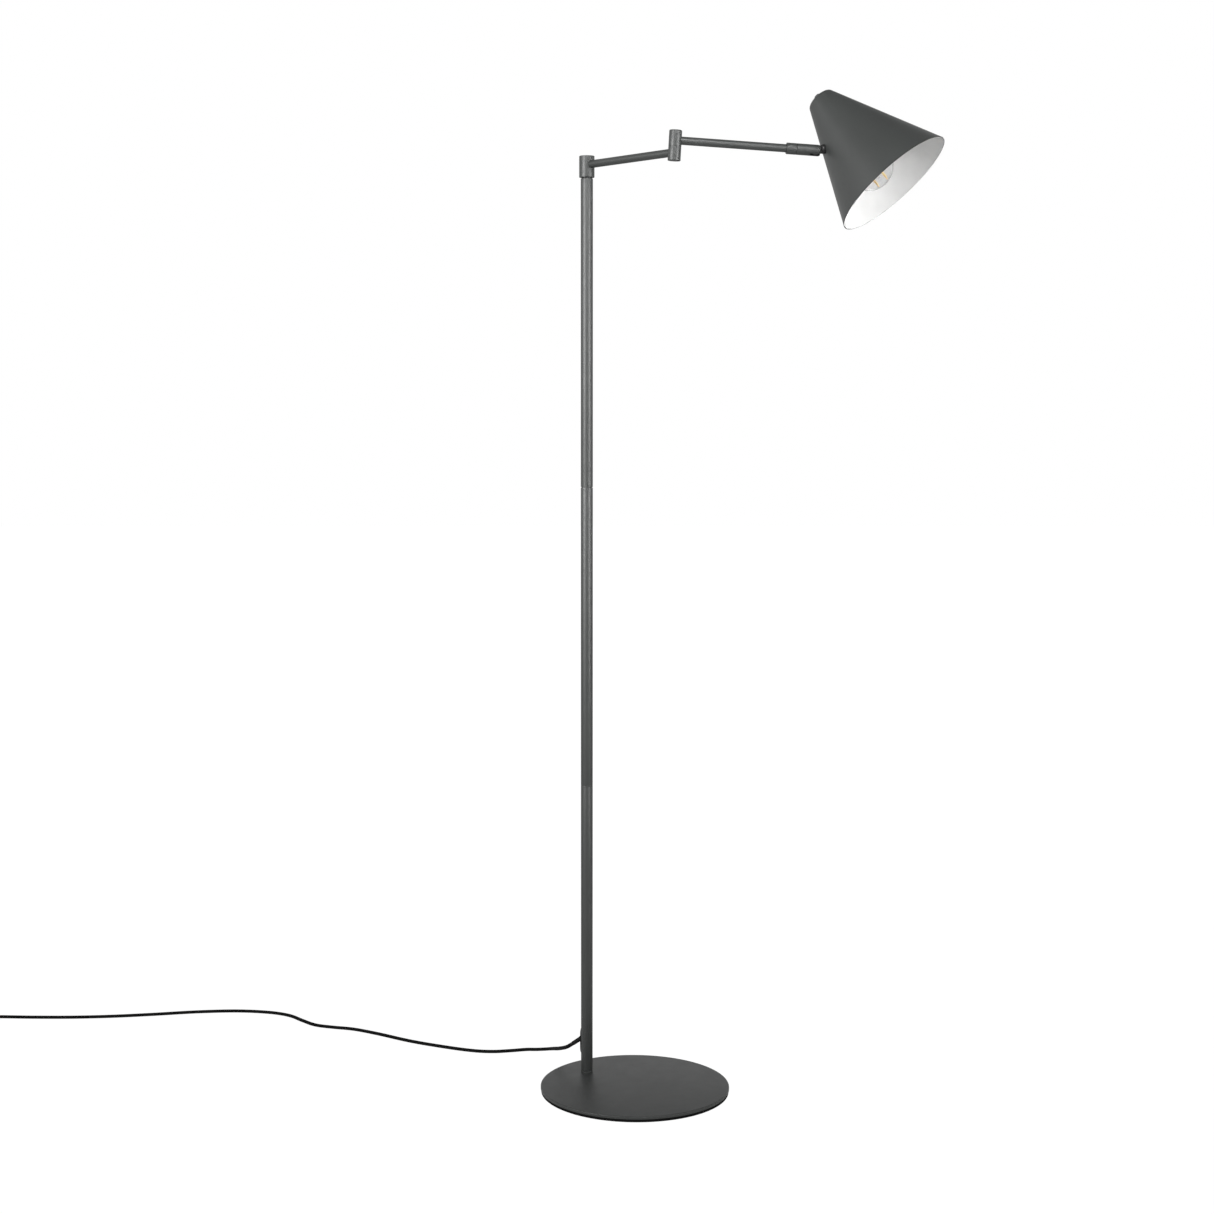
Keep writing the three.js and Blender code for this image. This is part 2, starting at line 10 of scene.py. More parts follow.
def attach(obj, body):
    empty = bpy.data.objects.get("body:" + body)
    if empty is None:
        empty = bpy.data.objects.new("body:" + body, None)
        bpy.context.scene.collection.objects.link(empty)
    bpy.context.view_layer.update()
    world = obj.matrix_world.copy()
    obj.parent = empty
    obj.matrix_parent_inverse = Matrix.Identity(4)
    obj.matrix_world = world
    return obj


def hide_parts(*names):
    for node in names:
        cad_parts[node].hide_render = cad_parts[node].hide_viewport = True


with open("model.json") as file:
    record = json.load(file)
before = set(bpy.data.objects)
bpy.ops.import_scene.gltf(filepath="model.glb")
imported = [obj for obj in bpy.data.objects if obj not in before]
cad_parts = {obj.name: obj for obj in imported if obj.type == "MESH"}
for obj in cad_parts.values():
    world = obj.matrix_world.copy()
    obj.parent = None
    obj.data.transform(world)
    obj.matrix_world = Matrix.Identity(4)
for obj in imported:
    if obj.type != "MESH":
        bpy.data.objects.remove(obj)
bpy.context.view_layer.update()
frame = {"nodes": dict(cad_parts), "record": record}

MM = 0.001
ON_AXIS = 1e-6  # a radius under this, in mm, is a point on the axis

# Driving sizes of the lamp, in millimetres, as in the CAD model.
BASE_R, BASE_TOP, PAD_TOP = 127.5, 8.0, 3.5
POLE_X, POLE_Y, POLE_R = -65.0, 51.5, 8.0
SECTION = 402.0
FOOT_RING_TOP = BASE_TOP + 3.2
POLE_TOP = BASE_TOP + 3 * SECTION
COLLAR_R, ARM_R, ELBOW_R, KNUCKLE_R = 10.0, 5.0, 8.0, 7.0
ARM_HEIGHT, ARM_LENGTH = 1231.8, 178.0
UPPER_ARM_RISE, FOREARM_LENGTH = 14.6, 177.6
RING_START, RING_END = 140.4, 152.6
SHADE_HALF_ANGLE = math.radians(23.53)
SHADE_RIM_R = 80.5
SHADE_RIM = SHADE_RIM_R / math.tan(SHADE_HALF_ANGLE)
SHADE_CROWN, CROWN_DOME_R, SHOULDER_R = 34.7, 33.0, 7.8
WALL_REACH, WALL_MOUNT = 11.9, 97.5
LAMP_OFFSET, BRACKET_LEG = 10.5, 60.0
BUTTON_PROUD = 1.7
CORD_WIDTH, CORD_THICK = 5.3, 4.6
EXIT_HEIGHT, EXIT_TURN, EXIT_DROP = 52.0, 145.0, 36.0
EXIT_RISE, RELIEF_END = 9.6, 33.0

# Angles at rest, in degrees.
LOWER_ARM_TURN, ELBOW_BEND, ELBOW_LEAN = -52.5, 60.0, 3.1
KNUCKLE_ROLL, HEAD_TILT = -116.0, -14.5


def move(x, y, z):
    return Matrix.Translation((x, y, z))


def spin(degrees, axis):
    return Matrix.Rotation(math.radians(degrees), 4, axis)


# The frames of the bodies, in millimetres. +X of an arm's frame runs along the arm.
POLE = move(POLE_X, POLE_Y, 0)
LOWER_ARM = move(POLE_X, POLE_Y, ARM_HEIGHT) @ spin(LOWER_ARM_TURN, "Z")
ELBOW = LOWER_ARM @ move(ARM_LENGTH, 0, 0) @ spin(ELBOW_BEND, "Z") @ spin(ELBOW_LEAN, "Y")
UPPER_ARM = ELBOW @ move(0, 0, UPPER_ARM_RISE)
KNUCKLE = UPPER_ARM @ spin(KNUCKLE_ROLL, "X")
HEAD = KNUCKLE @ move(FOREARM_LENGTH, 0, 0) @ spin(HEAD_TILT, "Z")
ALONG_X = spin(90, "Y")


def axis_frame(offset):
    """A frame whose +Z runs down the shade's axis, moved off it by offset towards the neck."""
    slope = SHADE_HALF_ANGLE
    x = WALL_REACH - offset * math.cos(slope)
    y = -WALL_MOUNT / math.cos(slope) + offset * math.sin(slope)
    return HEAD @ move(x, y, 0) @ Matrix.Rotation(-slope, 4, "Z") @ spin(-90, "X")


SHADE = axis_frame(0)
LAMP = axis_frame(LAMP_OFFSET)


# ---------------------------------------------------------------- camera

def make_camera():
    """The camera stands level with the pole, a little above the lamp's middle, and is tipped down."""
    away, height, tip = 2.778, 0.937, 7.46
    camera = bpy.data.cameras.new("camera")
    camera.sensor_width = 36.0
    camera.lens = 61.8
    camera.shift_x = 0.0166
    camera.shift_y = 0.0484
    camera.clip_end = 50.0
    rig = bpy.data.objects.new("camera", camera)
    rig.location = (POLE_X * MM, POLE_Y * MM - away, height)
    rig.rotation_euler = (math.radians(90 - tip), 0, 0)
    bpy.context.scene.collection.objects.link(rig)
    bpy.context.scene.camera = rig


make_camera()


# ---------------------------------------------------------------- materials

def new_material(name, **settings):
    material = bpy.data.materials.new(name)
    material.use_nodes = True
    shader = material.node_tree.nodes["Principled BSDF"]
    for socket, value in settings.items():
        shader.inputs[socket.replace("_", " ")].default_value = value
    return material, material.node_tree.nodes, material.node_tree.links, shader


def add_noise(nodes, links, scale, detail=3.0):
    where = nodes.new("ShaderNodeTexCoord")
    noise = nodes.new("ShaderNodeTexNoise")
    noise.inputs["Scale"].default_value = scale
    noise.inputs["Detail"].default_value = detail
    noise.inputs["Roughness"].default_value = 0.6
    links.new(where.outputs["Object"], noise.inputs["Vector"])
    return noise


def add_range(nodes, links, source, low, high):
    spread = nodes.new("ShaderNodeMapRange")
    spread.inputs["To Min"].default_value = low
    spread.inputs["To Max"].default_value = high
    links.new(source, spread.inputs["Value"])
    return spread.outputs["Result"]


def add_ramp(nodes, links, source, stops):
    ramp = nodes.new("ShaderNodeValToRGB")
    for i, (place, colour) in enumerate(stops):
        if i > 1:
            ramp.color_ramp.elements.new(place)
        ramp.color_ramp.elements[i].position = place
        ramp.color_ramp.elements[i].color = (*colour, 1)
    links.new(source, ramp.inputs["Fac"])
    return ramp.outputs["Color"]


def add_bump(nodes, links, source, shader, distance, strength):
    bump = nodes.new("ShaderNodeBump")
    bump.inputs["Strength"].default_value = strength
    bump.inputs["Distance"].default_value = distance
    links.new(source, bump.inputs["Height"])
    links.new(bump.outputs["Normal"], shader.inputs["Normal"])


def powder_coat(name, colour, roughness=0.46):
    """Powder coat: a fine orange-peel grain, cloudy gloss, and paint rubbed slightly paler on sharp edges."""
    material, nodes, links, shader = new_material(name, Metallic=0.0, Specular_IOR_Level=0.6)
    clouds = add_noise(nodes, links, scale=14)
    geometry = nodes.new("ShaderNodeNewGeometry")
    edge = add_range(nodes, links, geometry.outputs["Pointiness"], 0, 1)
    edge_mask = add_ramp(nodes, links, edge, [(0.54, (0, 0, 0)), (0.66, (1, 1, 1))])
    dark = tuple(c * 0.93 for c in colour)
    light = tuple(c * 1.07 for c in colour)
    body = add_ramp(nodes, links, clouds.outputs["Fac"], [(0.3, dark), (0.7, light)])
    mix = nodes.new("ShaderNodeMix")
    mix.data_type = "RGBA"
    mix.inputs["B"].default_value = (*(min(1, c * 1.5) for c in colour), 1)
    links.new(edge_mask, mix.inputs["Factor"])
    links.new(body, mix.inputs["A"])
    links.new(mix.outputs["Result"], shader.inputs["Base Color"])
    gloss = add_noise(nodes, links, scale=60)
    links.new(add_range(nodes, links, gloss.outputs["Fac"], roughness - 0.05, roughness + 0.05),
              shader.inputs["Roughness"])
    peel = add_noise(nodes, links, scale=1400, detail=2)
    add_bump(nodes, links, peel.outputs["Fac"], shader, distance=0.00003, strength=0.08)
    return material


def moulded(name, colour, roughness=0.5, grain=0.00003, scale=900, shine=0.4, painted_glow=0.0):
    """Moulded plastic or rubber: a fine spark texture and slightly uneven gloss. It can also carry a painted
    glow, an emission that lifts the shade on a part that is not lit.
    """
    material, nodes, links, shader = new_material(
        name, Metallic=0.0, Specular_IOR_Level=shine, Emission_Color=(*colour, 1), Emission_Strength=painted_glow)
    clouds = add_noise(nodes, links, scale=40)
    dark = tuple(c * 0.8 for c in colour)
    light = tuple(min(1, c * 1.25) for c in colour)
    links.new(add_ramp(nodes, links, clouds.outputs["Fac"], [(0.3, dark), (0.7, light)]),
              shader.inputs["Base Color"])
    links.new(add_range(nodes, links, clouds.outputs["Fac"], roughness - 0.08, roughness + 0.08),
              shader.inputs["Roughness"])
    spark = add_noise(nodes, links, scale, detail=2)
    add_bump(nodes, links, spark.outputs["Fac"], shader, distance=grain, strength=0.4)
    return material


def plated(name, colour, roughness=0.3):
    """Plated metal: a cloudy sheen with faint scratches."""
    material, nodes, links, shader = new_material(name, Metallic=1.0)
    clouds = add_noise(nodes, links, scale=90)
    dark = tuple(c * 0.85 for c in colour)
    links.new(add_ramp(nodes, links, clouds.outputs["Fac"], [(0.35, dark), (0.7, colour)]),
              shader.inputs["Base Color"])
    links.new(add_range(nodes, links, clouds.outputs["Fac"], roughness - 0.07, roughness + 0.1),
              shader.inputs["Roughness"])
    scratches = add_noise(nodes, links, scale=700, detail=4)
    add_bump(nodes, links, scratches.outputs["Fac"], shader, distance=0.00001, strength=0.3)
    return material


def lamp_glass(name):
    """Clear lamp glass with faint waves from blowing."""
    material, nodes, links, shader = new_material(
        name, Base_Color=(1, 1, 1, 1), Roughness=0.0, Transmission_Weight=1.0, IOR=1.45)
    waves = add_noise(nodes, links, scale=35, detail=1)
    add_bump(nodes, links, waves.outputs["Fac"], shader, distance=0.0001, strength=0.15)
    return material


ANTHRACITE = powder_coat("anthracite_powder_coat", (0.025, 0.027, 0.026))
WHITE_INSIDE = powder_coat("white_inside_coat", (0.82, 0.82, 0.815), roughness=0.6)
BLACK_RUBBER = moulded("black_rubber", (0.006, 0.006, 0.006), roughness=0.7, shine=0.2)
CORD_BLACK = moulded("cord_black", (0.003, 0.003, 0.003), roughness=0.75, grain=0.00001, shine=0.1)
BLACK_PLASTIC = moulded("black_plastic", (0.013, 0.013, 0.013), roughness=0.45)
ZINC = plated("zinc_steel", (0.52, 0.53, 0.54), roughness=0.35)
NICKEL = plated("nickel", (0.68, 0.66, 0.61), roughness=0.22)
GLASS = lamp_glass("lamp_glass")
# The filaments' emission is a painted glow: the bulb is off, and the glow lifts the shade on their dark sides.
PHOSPHOR = moulded("orange_phosphor", (0.92, 0.62, 0.28), roughness=0.6, scale=2500, painted_glow=0.3)
SLOT_MATERIALS = {
    "anthracite_paint": ANTHRACITE, "black_rubber": BLACK_RUBBER, "black_plastic": BLACK_PLASTIC,
    "zinc_steel": ZINC, "nickel": NICKEL, "clear_glass": GLASS, "filament_coating": PHOSPHOR,
}


# ---------------------------------------------------------------- mesh tools

def finish_mesh(name, mesh, material, body, replaces=(), sharp_degrees=32):
    """Shades a mesh smooth apart from its sharp edges and makes it a piece that rides on a body."""
    work = bmesh.new()
    work.from_mesh(mesh)
    bmesh.ops.remove_doubles(work, verts=work.verts, dist=1e-7)
    bmesh.ops.recalc_face_normals(work, faces=work.faces)
    limit = math.radians(sharp_degrees)
    for face in work.faces:
        face.smooth = True
    for edge in work.edges:
        edge.smooth = len(edge.link_faces) == 2 and edge.calc_face_angle(0) < limit
    work.to_mesh(mesh)
    work.free()
    piece = bpy.data.objects.new(name, mesh)
    bpy.context.scene.collection.objects.link(piece)
    if not mesh.materials:
        mesh.materials.append(material)
    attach(piece, body)
    if replaces:
        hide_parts(*replaces)
    return piece


def in_metres(matrix):
    return Matrix.Scale(MM, 4) @ matrix


def bridge(work, low, high, steps, material=0):
    """Makes the faces between two rings of vertices. A ring may be a single point."""
    for i in range(steps):
        j = (i + 1) % steps
        corners = [low[i % len(low)], low[j % len(low)], high[j % len(high)], high[i % len(high)]]
        corners = list(dict.fromkeys(corners))
        if len(corners) > 2:
            work.faces.new(corners).material_index = material


def revolved_mesh(name, profile, matrix, segments=96, inner_from=None, materials=()):
    """A mesh of revolution about Z from [radius, height] points in mm. A profile with an end off the axis
    closes on itself. Rings from inner_from on take the second material."""
    closed = profile[0][0] > 0 or profile[-1][0] > 0
    mesh = bpy.data.meshes.new(name)
    work = bmesh.new()
    place = in_metres(matrix)
    rings = []
    for radius, height in profile:
        if radius < ON_AXIS:
            rings.append([work.verts.new(place @ Vector((0, 0, height)))])
            continue
        ring = []
        for i in range(segments):
            angle = 2 * math.pi * i / segments
            at = Vector((radius * math.cos(angle), radius * math.sin(angle), height))
            ring.append(work.verts.new(place @ at))
        rings.append(ring)
    pairs = list(zip(rings, rings[1:]))
    if closed:
        pairs.append((rings[-1], rings[0]))
    for index, (low, high) in enumerate(pairs):
        material = 1 if inner_from is not None and index >= inner_from else 0
        bridge(work, low, high, segments, material)
    bmesh.ops.recalc_face_normals(work, faces=work.faces)
    work.to_mesh(mesh)
    work.free()
    for material in materials:
        mesh.materials.append(material)
    return mesh


def rounded(corners, radius=0.4, steps=4):
    """A profile with its inner corners rounded. Each corner is (r, z) or (r, z, its own radius)."""
    points = []
    count = len(corners)
    for i, corner in enumerate(corners):
        here = Vector(corner[:2])
        size = corner[2] if len(corner) > 2 else radius
        if size <= 0 or corner[0] < ON_AXIS:
            points.append(tuple(here))
            continue
        before = Vector(corners[(i - 1) % count][:2])
        after = Vector(corners[(i + 1) % count][:2])
        into, out = (here - before).normalized(), (after - here).normalized()
        turn = into.angle(out)
        if turn < 0.02:
            points.append(tuple(here))
            continue
        length = min(size * math.tan(turn / 2), (here - before).length / 2.01, (after - here).length / 2.01)
        start, end = here - into * length, here + out * length
        for k in range(steps + 1):
            t = k / steps
            points.append(tuple(start * (1 - t) ** 2 + here * 2 * t * (1 - t) + end * t * t))
    return points


def revolved(name, corners, matrix, material, body, replaces, radius=0.4, segments=96):
    mesh = revolved_mesh(name, rounded(corners, radius), matrix, segments)
    return finish_mesh(name, mesh, material, body, replaces)


def as_object(mesh):
    thing = bpy.data.objects.new(mesh.name, mesh)
    bpy.context.scene.collection.objects.link(thing)
    return thing


def baked(thing):
    """The object's mesh with its modifiers applied. The object itself goes."""
    graph = bpy.context.evaluated_depsgraph_get()
    mesh = bpy.data.meshes.new_from_object(thing.evaluated_get(graph))
    name = thing.name
    bpy.data.objects.remove(thing)
    mesh.name = name
    return mesh


def combined(mesh, others, operation="DIFFERENCE"):
    thing = as_object(mesh)
    tools = [as_object(other) for other in others]
    for tool in tools:
        modifier = thing.modifiers.new("join", "BOOLEAN")
        modifier.operation = operation
        modifier.solver = "EXACT"
        modifier.object = tool
    result = baked(thing)
    for tool in tools:
        bpy.data.objects.remove(tool)
    return result


def bevelled(mesh, width, segments, degrees):
    thing = as_object(mesh)
    modifier = thing.modifiers.new("round", "BEVEL")
    modifier.width = width * MM
    modifier.segments = segments
    modifier.limit_method = "ANGLE"
    modifier.angle_limit = math.radians(degrees)
    modifier.use_clamp_overlap = True
    return baked(thing)


def block_mesh(name, low, high, matrix):
    mesh = bpy.data.meshes.new(name)
    work = bmesh.new()
    bmesh.ops.create_cube(work, size=1)
    size = [b - a for a, b in zip(low, high)]
    middle = [(a + b) / 2 for a, b in zip(low, high)]
    fit = in_metres(matrix) @ move(*middle) @ Matrix.Diagonal((*size, 1))
    work.transform(fit)
    work.to_mesh(mesh)
    work.free()
    return mesh


def rod_mesh(name, radius, bottom, top, matrix, segments=48):
    return revolved_mesh(name, [(0, bottom), (radius, bottom), (radius, top), (0, top)], matrix, segments)


# ---------------------------------------------------------------- the cord

# The free cord's route, in mm, the same as in the CAD model: out of the grommet, down to the floor behind the
# base and away to the left, to the coil that holds the rest of its length.
CORD_ROUTE = [
    (-87.3, 67.1, 41.9), (-90.8, 69.8, 38.9), (-94.6, 75.4, 35.6), (-98.6, 84.5, 31.8), (-102.8, 97, 27.2),
    (-106.5, 111, 22.4), (-110.8, 128, 17), (-117, 146, 11), (-125, 160, 6), (-137, 168, 3),
    (-152, 169, 2.6), (-172, 164, 2.6), (-198, 159.5, 2.6), (-226, 163, 2.6),
    (-264, 178, 2.6), (-320, 207, 2.6), (-371, 242, 2.6), (-410, 265, 2.6),
    (-443, 275, 2.6), (-470, 286, 2.6), (-492, 308, 2.6), (-516, 334, 2.6),
    (-550, 350, 2.6), (-600, 357, 2.6), (-660, 352, 2.6), (-720, 340, 2.6),
    (-780, 330, 2.6), (-840, 325, 2.6), (-900, 325, 2.6), (-955, 327.5, 2.6),
    (-990, 327.5, 2.6),
]
COIL_X, COIL_Y = -1000.0, 295.0
COIL_OUTER, COIL_INNER = 32.6, 22.0  # the middles of the coil's outermost and innermost turns
COIL_TURNS = 5.25
COIL_LANDING = 6.0  # how far to the side of the coil's middle the cord comes onto it
LAST_TURN, PLUG_AWAY, PLUG_ENTRY = 30.5, 40.0, 6.5
ROLLED_FLAT = 130.0  # how far along from the grommet the cord has turned flat
# From the last turn the cord runs straight into the plug.
PLUG_LEAD = [(COIL_X - LAST_TURN, COIL_Y - along, height)
             for along, height in ((12, 11.7), (19, 11.2), (30, 8.6), (42, 7))]


def smooth_curve(points, per_span):
    """A Catmull-Rom curve through the points."""
    points = [Vector(p) for p in points]
    whole = [2 * points[0] - points[1], *points, 2 * points[-1] - points[-2]]
    curve = []
    for a, b, c, d in zip(whole, whole[1:], whole[2:], whole[3:]):
        for k in range(per_span):
            t = k / per_span
            curve.append(0.5 * (2 * b + (c - a) * t + (2 * a - 5 * b + 4 * c - d) * t * t
                                + (3 * b - a - 3 * c + d) * t ** 3))
    curve.append(points[-1])
    return curve


def ease(t):
    """Runs from 0 to 1 with a soft start and end."""
    return t * t * (3 - 2 * t)


def coil_points():
    """The coil's turns, a cord's width apart: inwards on the floor, outwards on those, then in again."""
    climb, steps = 0.5, 24  # turns taken to climb a layer, and points on a turn
    layer_turns = (COIL_OUTER - COIL_INNER) / CORD_WIDTH
    points = []
    for k in range(1, round(COIL_TURNS * steps) + 1):
        layer, turns = divmod(k / steps, layer_turns + climb)
        across = min(turns, layer_turns) * CORD_WIDTH
        radius = COIL_INNER + across if layer % 2 else COIL_OUTER - across
        t = max(0.0, (turns - layer_turns) / climb)
        height = CORD_WIDTH / 2 + CORD_THICK * (layer + ease(t))
        angle = math.pi / 2 + 2 * math.pi * k / steps
        points.append((COIL_X + radius * math.cos(angle), COIL_Y + radius * math.sin(angle), height))
    return points


def ribbon_mesh(name, path, roll_at, width, thick, sides=20):
    """A flat two-core cord along a path: an oval with a shallow groove down the middle of each face."""
    groove_depth, groove_width = 0.12, 0.22
    side_power, face_power = 0.8, 0.9  # below 1 makes the oval squarer
    mesh = bpy.data.meshes.new(name)
    work = bmesh.new()
    rings = []
    travelled = 0.0
    for i, point in enumerate(path):
        before, after = path[max(i - 1, 0)], path[min(i + 1, len(path) - 1)]
        travelled += (point - before).length
        along = (after - before).normalized()
        side = along.cross(Vector((0, 0, 1))).normalized()
        up = side.cross(along).normalized()
        roll = roll_at(travelled)
        ring = []
        for k in range(sides):
            angle = 2 * math.pi * k / sides
            c, h = math.cos(angle), math.sin(angle)
            groove = 1 - groove_depth * math.exp(-(c / groove_width) ** 2)
            wide = width / 2 * math.copysign(abs(c) ** side_power, c)
            high = thick / 2 * groove * math.copysign(abs(h) ** face_power, h)
            across = wide * math.cos(roll) - high * math.sin(roll)
            lift = wide * math.sin(roll) + high * math.cos(roll)
            ring.append(work.verts.new((point + side * across + up * lift) * MM))
        rings.append(ring)
    for low, high in zip(rings, rings[1:]):
        bridge(work, low, high, sides)
    work.faces.new(rings[0])
    work.faces.new(rings[-1])
    work.to_mesh(mesh)
    work.free()
    return mesh


def cord_roll(travelled):
    """The flat cord leaves the grommet on edge, and lies flat once it has reached the floor."""
    return (1 - ease(min(1.0, travelled / ROLLED_FLAT))) * math.pi / 2


def make_cord():
    onto_coil = (COIL_X + COIL_LANDING, COIL_Y + COIL_OUTER, CORD_WIDTH / 2)
    route = smooth_curve(CORD_ROUTE[:-1] + [onto_coil] + coil_points() + PLUG_LEAD, per_span=5)
    centre = []
    travelled = 0.0
    for before, point in zip([route[0], *route], route):
        travelled += (point - before).length
        flat = 1 - cord_roll(travelled) / (math.pi / 2)
        centre.append(point - Vector((0, 0, flat * (CORD_WIDTH - CORD_THICK) / 2)))
    mesh = ribbon_mesh("mains_cord", centre, cord_roll, CORD_WIDTH, CORD_THICK)
    length = sum((b - a).length for a, b in zip(centre, centre[1:])) * MM
    piece = finish_mesh("mains_cord", mesh, CORD_BLACK, "stand", ["cord_tube", "cord_coil"])
    return piece, centre, length


CORD, CORD_PATH, CORD_LENGTH = make_cord()


# The grommet's own frame has +X out of the pole. The strain relief's has +Z along the cord as it leaves.
EXIT = POLE @ move(0, 0, EXIT_HEIGHT) @ spin(EXIT_TURN, "Z")
RELIEF = EXIT @ move(0, 0, EXIT_RISE) @ spin(EXIT_DROP, "Y") @ ALONG_X


def make_grommet():
    """An oval plate that hugs the pole, with a ribbed strain relief that tapers down to the cord."""
    half_width, half_height, proud, gap = 7.0, 18.0, 1.4, 0.05
    # How far out from its middle and how far up its thickness each ring of the plate lies.
    levels = [(0.0, 0.0), (1.0, 0.0), (1.0, 0.5), (0.97, 0.8),
              (0.9, 0.95), (0.75, 1.0), (0.4, 1.0), (0.0, 1.0)]
    steps = 64
    work = bmesh.new()
    rings = []
    for reach, lift in levels:
        ring = []
        for k in range(steps if reach else 1):
            angle = 2 * math.pi * k / steps
            turned = reach * half_width * math.cos(angle) / (POLE_R + proud)
            radius = POLE_R + gap + (proud - gap) * lift
            height = reach * half_height * math.sin(angle)
            at = EXIT @ Vector((radius * math.cos(turned), radius * math.sin(turned), height))
            ring.append(work.verts.new(at * MM))
        rings.append(ring)
    for low, high in zip(rings, rings[1:]):
        bridge(work, low, high, steps)
    mesh = bpy.data.meshes.new("cord_grommet_plate")
    work.to_mesh(mesh)
    work.free()
    start, end = POLE_R + 3.0, RELIEF_END
    wide, slim = 3.0, 2.7
    ribs, first_rib, pitch, ridge, groove = 7, 3.0, 2.3, 0.12, 0.25
    profile = [(0, start), (wide + 0.5, start), (wide + 0.3, start + 1.8)]
    for k in range(ribs):
        z = start + first_rib + k * pitch
        r = wide + (slim - wide) * (z - start) / (end - start)
        profile += [(r, z), (r + ridge, z + 0.3), (r + ridge, z + 1.3)]
        profile += [(r - groove, z + 1.5), (r - groove, z + 2.0)]
    profile += [(slim, end - 0.5), (slim - 0.3, end), (0, end)]
    relief = revolved_mesh("relief", profile, RELIEF, 40)
    mesh = combined(mesh, [relief], "UNION")
    return finish_mesh("grommet_with_relief", mesh, BLACK_RUBBER, "stand", ["cord_grommet"])


# The plug's frame has +X along the plug towards its pins, as it lies on the floor.
PLUG = move(COIL_X - LAST_TURN, COIL_Y - PLUG_AWAY, 0) @ spin(-90, "Z")


def make_plug():
    """A flat moulded plug with two sleeved pins."""
    half = [(0, 3.4), (9, 4.6), (15, 8), (20, 12.4), (24, 13), (36, 13)]
    outline = half + [(x, -y) for x, y in reversed(half)]
    bottom, top = 0.4, 12.8
    pin_side, pin_start, sleeve_end, pin_end = 9.3, 36.1, 46, 55
    work = bmesh.new()
    low, high = ([work.verts.new(in_metres(PLUG) @ Vector((x, y, z))) for x, y in outline]
                 for z in (bottom, top))
    work.faces.new(low[::-1])
    work.faces.new(high)
    bridge(work, low, high, len(outline))
    mesh = bpy.data.meshes.new("plug_moulding")
    work.to_mesh(mesh)
    work.free()
    mesh = bevelled(mesh, 2.2, segments=5, degrees=50)
    body = finish_mesh("plug_moulding", mesh, BLACK_RUBBER, "stand", ["plug_body"], 50)
    pins = []
    for name, side in (("left", pin_side), ("right", -pin_side)):
        place = PLUG @ move(0, side, PLUG_ENTRY) @ ALONG_X
        pin = [(0, pin_start), (2.0, pin_start, 0), (2.0, sleeve_end, 0), (1.9, sleeve_end + 0.1, 0),
               (1.9, pin_end, 1.2), (0, pin_end)]
        mesh = revolved_mesh(f"plug_pin_{name}", rounded(pin), place, 32)
        for face in mesh.polygons:
            along = (PLUG.inverted() @ (face.center / MM)).x
            face.material_index = 1 if along < sleeve_end else 0
        mesh.materials.append(NICKEL)
        mesh.materials.append(BLACK_PLASTIC)
        pins.append(finish_mesh(f"sleeved_pin_{name}", mesh, NICKEL, "stand", [f"plug_pin_{name}"]))
    return [body, *pins]


def make_coil_tie():
    """A hook-and-loop strap round one side of the coil."""
    width, height, radius, thick = 18.4, 13.6, 4.0, 0.9
    reach, lift, half_strap = 27.5, 0.1, 5.5
    corners = [(-width / 2, -height / 2, radius), (width / 2, -height / 2, radius),
               (width / 2, height / 2, radius), (-width / 2, height / 2, radius)]
    middle_x, middle_z = COIL_X + reach, height / 2 + lift
    loop = rounded(corners)
    work = bmesh.new()
    rings = []
    for y in (-half_strap, half_strap):
        for across, upright in ((1.0, 1.0), (1 - 2 * thick / width, 1 - 2 * thick / height)):
            rings.append([work.verts.new(Vector((
                middle_x + x * across, COIL_Y + y, middle_z + z * upright)) * MM) for x, z in loop])
    for a, b in ((0, 1), (1, 3), (3, 2), (2, 0)):
        bridge(work, rings[a], rings[b], len(loop))
    mesh = bpy.data.meshes.new("coil_tie")
    work.to_mesh(mesh)
    work.free()
    return finish_mesh("coil_tie", mesh, BLACK_RUBBER, "stand")


make_grommet()
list(make_plug())
make_coil_tie()


# ---------------------------------------------------------------- base and pole

def make_base():
    disc = [(0, PAD_TOP + 0.3), (BASE_R, PAD_TOP + 0.3, 0.5), (BASE_R, BASE_TOP, 1.4), (0, BASE_TOP)]
    revolved("base_disc", disc, Matrix(), ANTHRACITE, "stand", ["base_plate"],
             segments=256)
    pad = [(0, 0), (BASE_R - 0.7, 0, 0.4), (BASE_R - 0.7, PAD_TOP + 0.25, 0.2), (0, PAD_TOP + 0.25)]
    revolved("base_foam_pad", pad, Matrix(), CORD_BLACK, "stand", ["base_pad"], segments=256)


def make_pole():
    ring = [(7.0, BASE_TOP), (POLE_R, BASE_TOP, 0.15), (POLE_R, FOOT_RING_TOP, 1.0), (7.0, FOOT_RING_TOP)]
    revolved("pole_foot_ring", ring, POLE, ANTHRACITE, "stand", ["foot_ring"])
    seams = [BASE_TOP + i * SECTION for i in range(4)]
    sections = {
        "lower": [(6.8, FOOT_RING_TOP + 0.3), (POLE_R, FOOT_RING_TOP + 0.3, 0.5), (POLE_R, seams[1], 1.0),
                  (6.8, seams[1])],
        "middle": [(6.8, seams[1] + 0.15), (POLE_R, seams[1] + 0.15, 0.15), (POLE_R, seams[2], 0.2),
                   (6.8, seams[2])],
        # The upper section stops short of the one below on the outside, which leaves a dark groove.
        "upper": [(6.8, seams[2] + 0.1), (7.2, seams[2] + 0.1, 0), (7.2, seams[2] + 1.1, 0),
                  (POLE_R, seams[2] + 1.1, 0.2), (POLE_R, seams[3], 0.5), (6.8, seams[3])],
    }
    for name, tube in sections.items():
        revolved(f"pole_section_{name}", tube, POLE, ANTHRACITE, "stand",
                 [f"pole_tube_{name}"], radius=0, segments=128)


# ---------------------------------------------------------------- arms and knuckle

